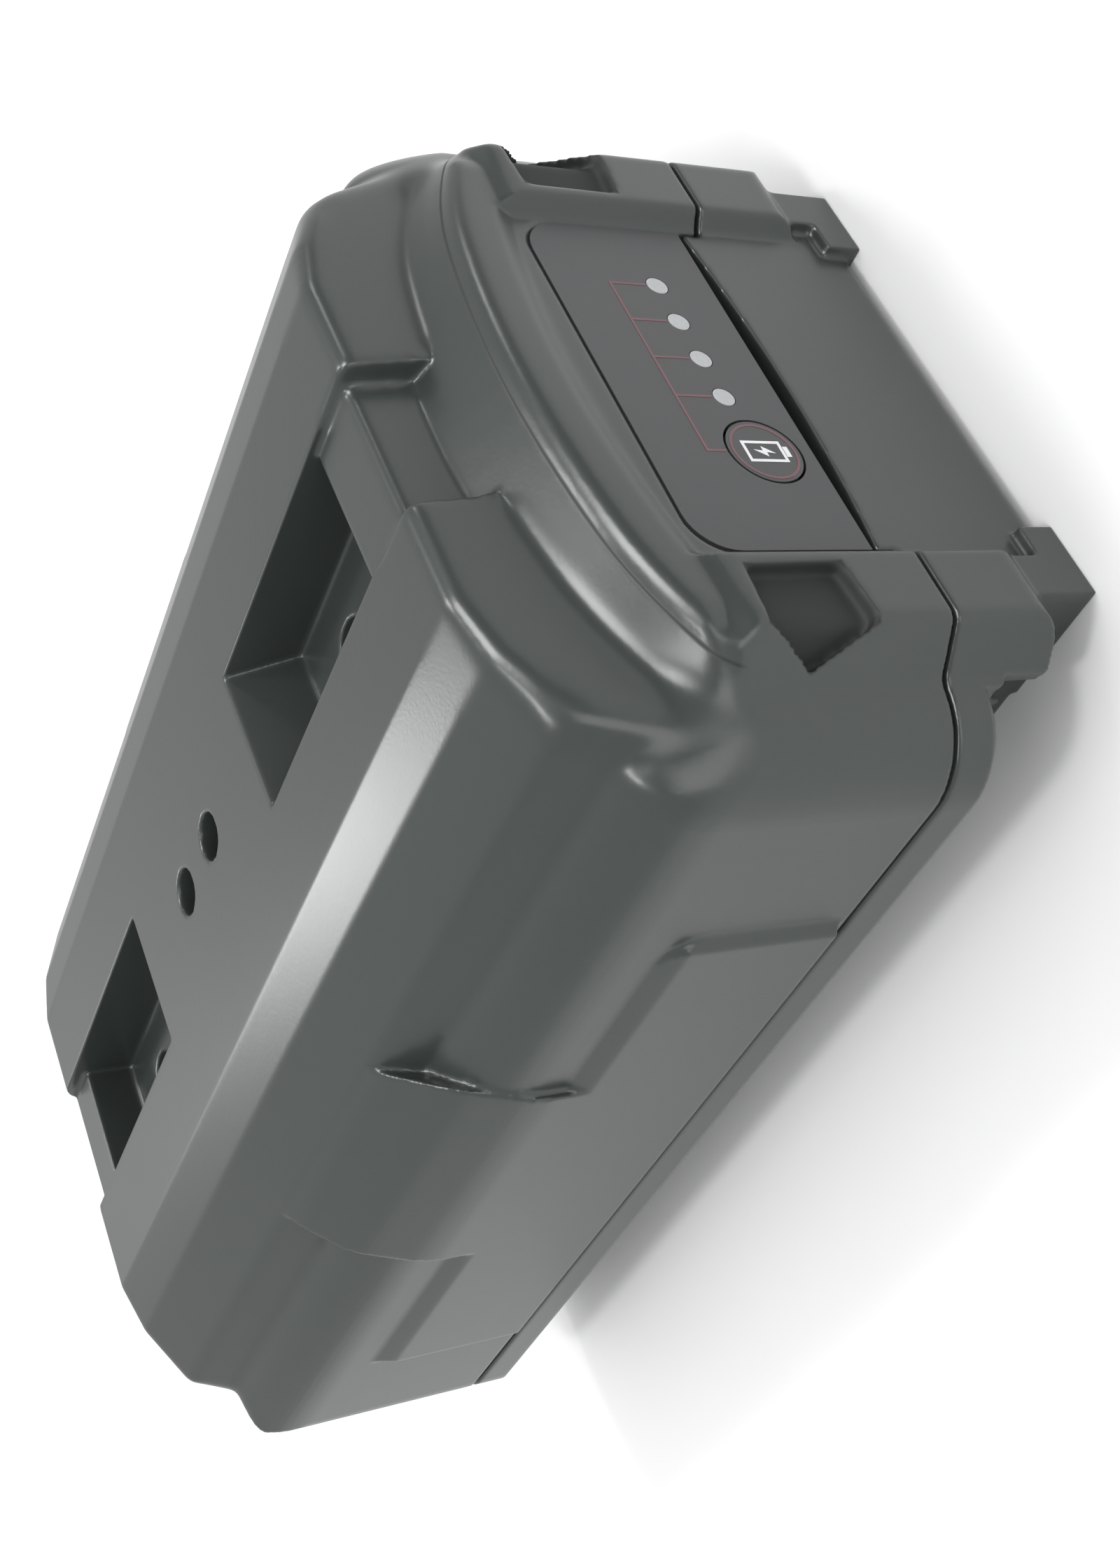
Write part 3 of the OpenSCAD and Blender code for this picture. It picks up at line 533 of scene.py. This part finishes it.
class Finish(Enum):
    """The finishes of the pack, one for each material slot and print."""

    # The housing wears painted shade in the grip recesses and along the bead's groove.
    HOUSING = MouldedPlastic("housing", HOUSING_GREY, rough=0.29, shade_patches=(GRIP_SHADE, BEAD_GROOVE_SHADOW))
    LABEL = MouldedPlastic(
        "label", PANEL_GREY, rough=0.42, grain_mm=0.2, grain_depth_mm=0.003, mottle=0.06
    )
    WINDOW = MilkyLens("window", (0.42, 0.43, 0.44))
    FRAME = MouldedPlastic("frame", (0.012, 0.012, 0.013), rough=0.45)
    STEEL = PlainMetal("steel", (0.36, 0.36, 0.37), rough=0.34)
    BOARD = SolderMask("board", (0.012, 0.085, 0.035))
    NICKEL = PlainMetal("nickel", (0.62, 0.59, 0.52), rough=0.3)
    CONTACT = PlainMetal("contact", (0.66, 0.44, 0.26), rough=0.32)
    INSULATION = SheetStock("insulation", (0.62, 0.54, 0.34), rough=0.7, pore_mm=0.6, depth_mm=0.01)
    FOAM = SheetStock("foam", (0.02, 0.02, 0.022), rough=0.85, pore_mm=0.5, depth_mm=0.08, spread=0.4)
    CERAMIC = SheetStock(
        "ceramic", (0.62, 0.6, 0.56), rough=0.5, pore_mm=0.4, depth_mm=0.004, spread=0.06
    )
    CELL_SLEEVE = SheetStock(
        "cell_sleeve", (0.02, 0.09, 0.26), rough=0.28, pore_mm=6.0, depth_mm=0.004, spread=0.1
    )
    WHITE_INK = Ink("white_ink", (0.78, 0.78, 0.79))
    PINK_INK = Ink("pink_ink", (0.16, 0.075, 0.085))

    def paint(self) -> bpy.types.Material:
        """The finish's material, made on first use."""
        return bpy.data.materials.get(f"{self.value.name}_finish") or self.value.material()


def dress(obj: bpy.types.Object, finish: Finish) -> None:
    """Give an object one finish in place of what it had.

    Args:
        obj: Piece or CAD node.
        finish: Finish to wear.
    """
    obj.data.materials.clear()
    obj.data.materials.append(finish.paint())


def place_piece(
    name: str, bm: bmesh.types.BMesh, finish: Finish, body: Body
) -> bpy.types.Object:
    """Turn a finished bmesh into a piece of the pack.

    Args:
        name: Name of the piece.
        bm: Its mesh, in the pack's frame. It is freed.
        finish: Finish that it wears.
        body: Rigid body that it rides on.

    Returns:
        The new object.
    """
    mesh = bpy.data.meshes.new(name)
    bm.to_mesh(mesh)
    bm.free()
    obj = bpy.data.objects.new(name, mesh)
    bpy.context.scene.collection.objects.link(obj)
    dress(obj, finish)
    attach(obj, body.value)
    log.info("%s: %d faces", name, len(mesh.polygons))
    return obj


def points_mm(mesh: bpy.types.Mesh) -> np.ndarray:
    """Read a mesh's points.

    Args:
        mesh: Mesh to read.

    Returns:
        One row for each point, in millimetres.
    """
    points = np.empty(3 * len(mesh.vertices), dtype=np.float32)
    mesh.vertices.foreach_get("co", points)
    return points.reshape(-1, 3) / MM


def points_of(geometry: list) -> list[bmesh.types.BMVert]:
    """The points among what an operator has made."""
    return [item for item in geometry if isinstance(item, bmesh.types.BMVert)]


def ramp(values: np.ndarray, span: Pair) -> np.ndarray:
    """Rise smoothly from nought to one.

    Args:
        values: Places.
        span: Where the rise starts and ends.

    Returns:
        The height at each place.
    """
    part = np.clip((values - span[0]) / (span[1] - span[0]), 0.0, 1.0)
    return part * part * (3.0 - 2.0 * part)


@dataclass(frozen=True)
class BrowDroop:
    """The two ends of the brow, which fall more steeply than the arc of the solid, in millimetres."""

    drop: float
    across: Pair
    along: Pair
    up: Pair
    beyond: float = 1.1

    def bend(self, mesh: bpy.types.Mesh) -> None:
        """Pull the ends down.

        Args:
            mesh: Mesh to bend.
        """
        points = points_mm(mesh)
        near, far = self.across
        fall = np.clip((np.abs(points[:, 0]) - near) / (far - near), 0.0, self.beyond) ** 2
        points[:, 2] -= self.drop * fall * ramp(points[:, 1], self.along) * ramp(points[:, 2], self.up)
        mesh.vertices.foreach_set("co", (points * MM).ravel())
        mesh.update()


@dataclass(frozen=True)
class SoftZone:
    """A box on both sides of the skin, in millimetres, that is rubbed smoother than the rest."""

    low: Point
    high: Point
    passes: int
    fade: float = 2.0
    steps: int = 5

    def grades(self, mesh: bpy.types.Mesh) -> Iterator[tuple[float, list[int]]]:
        """Sort the points in the box, or in its mirror image, by their depth below its border.

        Args:
            mesh: Mesh to look through.

        Yields:
            A weight up to one, and the numbers of the points that get it.
        """
        points = points_mm(mesh)
        points[:, 0] = np.abs(points[:, 0])
        depth = np.minimum(points - self.low, np.subtract(self.high, points)).min(axis=1)
        level = np.ceil(np.clip(depth / self.fade, 0.0, 1.0) * self.steps)
        for step in range(1, self.steps + 1):
            yield step / self.steps, np.flatnonzero(level == step).tolist()


BROW_ENDS = BrowDroop(3.2, across=(21.0, 41.0), along=(-66.0, -72.0), up=(44.0, 51.5))
BEAD = SoftZone((-9.0, -80.0, 48.5), (42.0, -74.0, 60.5), passes=26, fade=1.0)
GRIP_EDGES = SoftZone((27.5, -81.0, 30.5), (41.5, -72.5, 46.5), passes=16, fade=1.0)
BELLY_FOOT = SoftZone((11.0, -75.4, 46.5), (44.0, -65.5, 65.0), passes=150)
BELLY_BROW = SoftZone((-9.0, -73.0, 61.0), (46.0, -60.0, 73.0), passes=36)
FRONT_CORNER = SoftZone((35.0, -83.0, 43.0), (46.0, -71.0, 52.5), passes=50)
FRONT_VALLEY = SoftZone((37.5, -69.0, 54.0), (46.5, -18.0, 63.5), passes=60)
REAR_VALLEY = SoftZone((37.5, 29.0, 54.0), (46.5, 77.0, 63.5), passes=60)


@dataclass
class MouldedSkin:
    """A housing half whose edges are rounded as a mould rounds them."""

    node: str
    voxel: float = 0.33 * MM
    rub_passes: int = 3
    triangles: int = 180000
    fold: float = math.radians(60)
    ease_passes: int = 5
    rub_factor: float = 0.5
    weld: float = 0.001 * MM
    sliver: float = 0.01 * MM
    bends: list[BrowDroop] = field(default_factory=list)
    zones: list[SoftZone] = field(default_factory=list)

    def settle(self, obj: bpy.types.Object) -> None:
        """Replace an object's mesh by what its modifiers make of it.

        Args:
            obj: Object with modifiers.
        """
        graph = bpy.context.evaluated_depsgraph_get()
        mesh = bpy.data.meshes.new_from_object(obj.evaluated_get(graph))
        obj.modifiers.clear()
        obj.data = mesh

    def build(self) -> None:
        """Make the skin from the node's own mesh, and let it stand for the node."""
        bm = bmesh.new()
        bm.from_mesh(frame["nodes"][self.node].data)
        bmesh.ops.remove_doubles(bm, verts=bm.verts, dist=self.weld)
        skin = place_piece(f"{self.node}_skin", bm, Finish.HOUSING, Body.PACK)
        grid = skin.modifiers.new("grid", "REMESH")
        grid.mode = "VOXEL"
        grid.voxel_size = self.voxel
        self.rub(skin, self.rub_passes)
        self.settle(skin)
        for droop in self.bends:
            droop.bend(skin.data)
        for number, zone in enumerate(self.zones):
            group = skin.vertex_groups.new(name=f"zone_{number}")
            for weight, held in zone.grades(skin.data):
                group.add(held, weight, "REPLACE")
            self.rub(skin, zone.passes, group.name)
        self.settle(skin)
        skin.vertex_groups.clear()
        self.thin(skin)
        dress(skin, Finish.HOUSING)
        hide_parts(self.node)
        log.info("%s: %d faces after thinning", skin.name, len(skin.data.polygons))

    def thin(self, skin: bpy.types.Object) -> None:
        """Thin the dense mesh out, but keep the way its surface faces.

        Args:
            skin: Object with a dense smooth mesh.
        """
        skin.data.shade_smooth()
        dense = bpy.data.objects.new("dense", skin.data)
        bpy.context.scene.collection.objects.link(dense)
        fewer = skin.modifiers.new("fewer", "DECIMATE")
        fewer.use_collapse_triangulate = True
        # Each face of the dense mesh is a quad, so it counts as two triangles.
        fewer.ratio = min(1.0, self.triangles / (2 * len(skin.data.polygons)))
        self.settle(skin)
        self.unfold(skin.data)
        facing = skin.modifiers.new("facing", "DATA_TRANSFER")
        facing.object = dense
        facing.use_loop_data = True
        facing.data_types_loops = {"CUSTOM_NORMAL"}
        facing.loop_mapping = "POLYINTERP_NEAREST"
        self.settle(skin)
        bpy.data.objects.remove(dense)

    def unfold(self, mesh: bpy.types.Mesh) -> None:
        """Ease the few points where thinning has folded the mesh over.

        Args:
            mesh: Thinned mesh.
        """
        bm = bmesh.new()
        bm.from_mesh(mesh)
        bmesh.ops.dissolve_degenerate(bm, dist=self.sliver, edges=bm.edges)
        for _ in range(self.ease_passes):
            sharp = [edge for edge in bm.edges if edge.calc_face_angle(0.0) > self.fold]
            folded = {vert for edge in sharp for vert in edge.verts}
            log.info("easing %d points", len(folded))
            axes = {"use_axis_x": True, "use_axis_y": True, "use_axis_z": True}
            bmesh.ops.smooth_vert(bm, verts=list(folded), factor=self.rub_factor, **axes)
            bm.normal_update()
        bmesh.ops.triangulate(bm, faces=bm.faces)
        bm.to_mesh(mesh)
        bm.free()
        mesh.shade_smooth()

    def rub(self, skin: bpy.types.Object, passes: int, group: str = "") -> None:
        """Rub the skin smooth, all over or in one group of points.

        Args:
            skin: Object with a dense even mesh.
            passes: How often each point moves halfway to the middle of its neighbours.
            group: Name of the group of points, or nothing for all of them.
        """
        cloth = skin.modifiers.new(f"rub_{group}", "SMOOTH")
        cloth.factor = self.rub_factor
        cloth.iterations = passes
        cloth.vertex_group = group


@dataclass
class GaugePanel:
    """The prints of the panel over the gauge: its ink lines, and the button's ring and icons."""

    line_w: float = 0.3 * MM
    ink_t: float = 0.04 * MM
    rise: float = 6.2 * MM
    window_gap: float = 1.5 * MM
    button_gap: float = 4.9 * MM
    icon: Pair = (3.1 * MM, 5.0 * MM)
    icon_line: float = 0.36 * MM
    nub: Pair = (1.5 * MM, 0.7 * MM)
    nub_gap: float = 0.1 * MM
    bolt_mm: tuple[Pair, ...] = (
        (0.25, 1.3), (-0.75, -0.2), (-0.1, -0.2), (-0.25, -1.3), (0.75, 0.2), (0.1, 0.2)
    )
    ring_r: float = 4.1 * MM
    ring_segments: int = 72
    windows: int = 4

    def __post_init__(self) -> None:
        """Take the panel's places from the solids."""
        self.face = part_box("gauge_label")[0].y
        button_low, button_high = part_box("gauge_button")
        centre = (button_low + button_high) / 2
        self.button_face = button_low.y
        self.button = Vector((centre.x, centre.z))
        lens_low, lens_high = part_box("led_windows")
        radius = (lens_high.z - lens_low.z) / 2
        self.lens_z = (lens_low.z + lens_high.z) / 2
        first, last = lens_low.x + radius, lens_high.x - radius
        self.lens_x = [first + (last - first) * i / (self.windows - 1) for i in range(self.windows)]

    def bar(self, bm: bmesh.types.BMesh, low: Pair, high: Pair, face: float) -> None:
        """Add a flat ink bar.

        Args:
            bm: Mesh to add to.
            low: Lowest X and Z.
            high: Highest X and Z.
            face: Y of the surface that carries it.
        """
        size = Vector((high[0] - low[0], 2 * self.ink_t, high[1] - low[1]))
        middle = Vector(((low[0] + high[0]) / 2, face, (low[1] + high[1]) / 2))
        block = Matrix.Translation(middle) @ Matrix.Diagonal((*size, 1.0))
        bmesh.ops.create_cube(bm, size=1.0, matrix=block)

    def circuit(self) -> None:
        """Print the thin line that joins the button to the four windows."""
        bm = bmesh.new()
        top = self.lens_z + self.rise
        half = self.line_w / 2
        ends = [self.button.x] + self.lens_x
        self.bar(bm, (ends[0] - half, top - half), (ends[-1] + half, top + half), self.face)
        for x in self.lens_x:
            self.bar(bm, (x - half, self.lens_z + self.window_gap), (x + half, top - half), self.face)
        stem = self.button.y + self.button_gap
        self.bar(bm, (ends[0] - half, stem), (ends[0] + half, top - half), self.face)
        place_piece("circuit_print", bm, Finish.PINK_INK, Body.PACK)

    def ring(self) -> None:
        """Print the ring round the button's face."""
        bm = bmesh.new()
        centre = Vector((self.button.x, self.button_face, self.button.y))
        upright = Matrix.Translation(centre) @ Matrix.Rotation(math.radians(90), 4, "X")
        bmesh.ops.create_circle(bm, segments=self.ring_segments, radius=self.ring_r, matrix=upright)
        inner = bmesh.ops.extrude_edge_only(bm, edges=list(bm.edges))
        for vert in points_of(inner["geom"]):
            vert.co = centre + (vert.co - centre) * (1 - self.line_w / self.ring_r)
        self.thicken(bm)
        place_piece("button_ring_print", bm, Finish.PINK_INK, Body.BUTTON)

    def thicken(self, bm: bmesh.types.BMesh) -> None:
        """Give a flat print its thickness, half of it sunk into the face.

        Args:
            bm: Flat mesh in a plane of constant Y.
        """
        bmesh.ops.recalc_face_normals(bm, faces=bm.faces)
        grown = bmesh.ops.extrude_face_region(bm, geom=list(bm.faces))
        bmesh.ops.translate(bm, verts=points_of(grown["geom"]), vec=(0, -self.ink_t, 0))
        bmesh.ops.recalc_face_normals(bm, faces=bm.faces)

    def battery_icon(self) -> None:
        """Print the upside-down battery outline on the button."""
        bm = bmesh.new()
        half_w, half_h, half_nub = self.icon[0] / 2, self.icon[1] / 2, self.nub[0] / 2
        line = self.icon_line
        x, z = self.button
        left, right = x - half_w, x + half_w
        foot, head = z - half_h, z + half_h
        bars = (
            ((left, foot), (left + line, head)),
            ((right - line, foot), (right, head)),
            ((left + line, head - line), (right - line, head)),
            ((left + line, foot), (right - line, foot + line)),
            ((x - half_nub, foot - self.nub[1]), (x + half_nub, foot - self.nub_gap)),
        )
        for low, high in bars:
            self.bar(bm, low, high, self.button_face)
        place_piece("battery_icon_print", bm, Finish.WHITE_INK, Body.BUTTON)

    def bolt_icon(self) -> None:
        """Print the lightning mark inside the battery outline."""
        bm = bmesh.new()
        x, z = self.button
        ring = [bm.verts.new((x + a * MM, self.button_face, z + b * MM)) for a, b in self.bolt_mm]
        bm.faces.new(ring)
        self.thicken(bm)
        place_piece("bolt_icon_print", bm, Finish.WHITE_INK, Body.BUTTON)

    def build(self) -> None:
        """Make all the prints."""
        self.circuit()
        self.ring()
        self.battery_icon()
        self.bolt_icon()


@dataclass
class Solids:
    """All the solids of the pack, dressed by their material slots."""

    finishes: dict[str, Finish] = field(
        default_factory=lambda: {finish.value.name: finish for finish in Finish}
    )

    def build(self) -> None:
        """Dress each CAD node in the finish named by its slot."""
        for part in frame["record"]["subparts"]:
            dress(frame["nodes"][part["node"]], self.finishes[part["material_slot"]])


@dataclass
class Studio:
    """Pale floor, even white surround, soft lamps and the camera at the photograph's place."""

    eye: Vector = field(default_factory=lambda: Vector((-0.1375, -0.1928, 0.15965)))
    right: Vector = field(default_factory=lambda: Vector((-0.3657, -0.3660, -0.8557)))
    up: Vector = field(default_factory=lambda: Vector((0.7776, -0.6254, -0.0648)))
    back: Vector = field(default_factory=lambda: Vector((-0.5115, -0.6891, 0.5133)))
    lens: float = 46.19
    sensor: float = 36.0
    clip: Pair = (0.01, 50.0)
    floor_half: float = 3.0
    floor_drop: float = 0.05 * MM
    floor_dull: Colour = (0.86, 0.86, 0.86)
    floor_pale: Colour = (0.9, 0.9, 0.9)
    floor_blotch_mm: float = 40.0
    floor_rough: float = 0.8
    sky: Colour = (1.0, 1.0, 1.0)
    surround: Pair = (0.7, 0.3)
    dark_side: Vector = field(default_factory=lambda: Vector((0.1, -0.9, 0.5)))
    dark_span: Pair = (0.35, 0.8)
    lamp_aim: Vector = field(default_factory=lambda: Vector((0, 0, 40 * MM)))
    lamp_distance: float = 1.2

    def camera(self) -> None:
        """Set the camera where the photograph was taken."""
        data = bpy.data.cameras.new("camera")
        data.lens = self.lens
        data.sensor_width = self.sensor
        data.clip_start, data.clip_end = self.clip
        obj = bpy.data.objects.new("camera", data)
        axes = Matrix((self.right, self.up, self.back)).transposed().to_4x4()
        obj.matrix_world = Matrix.Translation(self.eye) @ axes
        bpy.context.scene.collection.objects.link(obj)
        bpy.context.scene.camera = obj

    def floor(self) -> None:
        """Lay the pale floor."""
        bm = bmesh.new()
        bmesh.ops.create_grid(bm, x_segments=1, y_segments=1, size=self.floor_half)
        bmesh.ops.translate(bm, verts=bm.verts, vec=(0, 0, -self.floor_drop))
        mesh = bpy.data.meshes.new("floor")
        bm.to_mesh(mesh)
        bm.free()
        obj = bpy.data.objects.new("floor", mesh)
        bpy.context.scene.collection.objects.link(obj)
        paint = Paint("floor")
        blotches = paint.noise(self.floor_blotch_mm)
        paint.set("Base Color", paint.mix(blotches, self.floor_dull, self.floor_pale))
        paint.set("Roughness", self.floor_rough)
        obj.data.materials.append(paint.material)

    def world(self) -> None:
        """Surround the pack with white that darkens softly on the photographer's side."""
        world = bpy.data.worlds.new("surround")
        world.use_nodes = True
        graph = NodeGraph(world.node_tree)
        sky = graph.tree.nodes["Background"]
        way = graph.add("ShaderNodeTexCoord", {}, {}, "Generated")
        sides = {0: way, 1: self.dark_side.normalized()}
        facing = graph.add("ShaderNodeVectorMath", {"operation": "DOT_PRODUCT"}, sides, "Value")
        limits = zip(("From Min", "From Max", "To Min", "To Max"), (*self.dark_span, *self.surround))
        values = {"Value": facing, **dict(limits)}
        fade = graph.add("ShaderNodeMapRange", {"interpolation_type": "SMOOTHSTEP"}, values, "Result")
        graph.feed(sky.inputs["Color"], self.sky)
        graph.feed(sky.inputs["Strength"], fade)
        bpy.context.scene.world = world

    def lamp(
        self,
        name: str,
        towards: Vector,
        size: float,
        watts: float,
        wash: bool = True,
        shine: bool = True,
    ) -> None:
        """Hang one soft box aimed at the pack.

        Args:
            name: Name of the lamp.
            towards: Direction from the pack to the lamp.
            size: Width and height of the box.
            watts: Its power.
            wash: Whether it lights surfaces.
            shine: Whether it shows in what shines.
        """
        data = bpy.data.lights.new(name, "AREA")
        data.shape = "SQUARE"
        data.size = size
        data.energy = watts
        obj = bpy.data.objects.new(name, data)
        way = towards.normalized()
        turn = way.to_track_quat("Z", "Y").to_matrix().to_4x4()
        obj.matrix_world = Matrix.Translation(self.lamp_aim + way * self.lamp_distance) @ turn
        obj.visible_diffuse = wash
        obj.visible_glossy = shine
        bpy.context.scene.collection.objects.link(obj)

    def build(self) -> None:
        """Set up the whole studio."""
        self.camera()
        self.floor()
        self.world()
        self.lamp("back_box", Vector((0.31, 0.72, 0.62)), size=0.17, watts=2.2, wash=False)
        self.lamp("ceiling_right", Vector((0.42, 0.07, 0.91)), size=0.16, watts=3.0)
        self.lamp("ceiling_left", Vector((-0.32, -0.18, 0.93)), size=0.16, watts=3.0)
        self.lamp("ceiling_front", Vector((0.14, -0.5, 0.85)), size=0.6, watts=17.0, wash=False)
        self.lamp("overhead", Vector((-0.1, -0.1, 1.0)), size=1.5, watts=9.0, shine=False)
        self.lamp("front_right", Vector((0.75, -0.52, 0.42)), size=0.16, watts=1.2)
        self.lamp("front_fill", Vector((-0.55, -0.8, 0.2)), size=0.7, watts=4.5)
        bpy.context.scene.view_settings.view_transform = "Standard"


def main() -> None:
    """Build the pack's looks in order."""
    logging.basicConfig(level=logging.INFO, format="%(name)s: %(message)s")
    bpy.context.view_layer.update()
    Solids().build()
    front = [BEAD, GRIP_EDGES, BELLY_FOOT, BELLY_BROW, FRONT_CORNER]
    MouldedSkin("belly_shell", bends=[BROW_ENDS], zones=front + [FRONT_VALLEY, REAR_VALLEY]).build()
    MouldedSkin("rail_cover").build()
    GaugePanel().build()
    Studio().build()


if __name__ == "__main__":
    main()
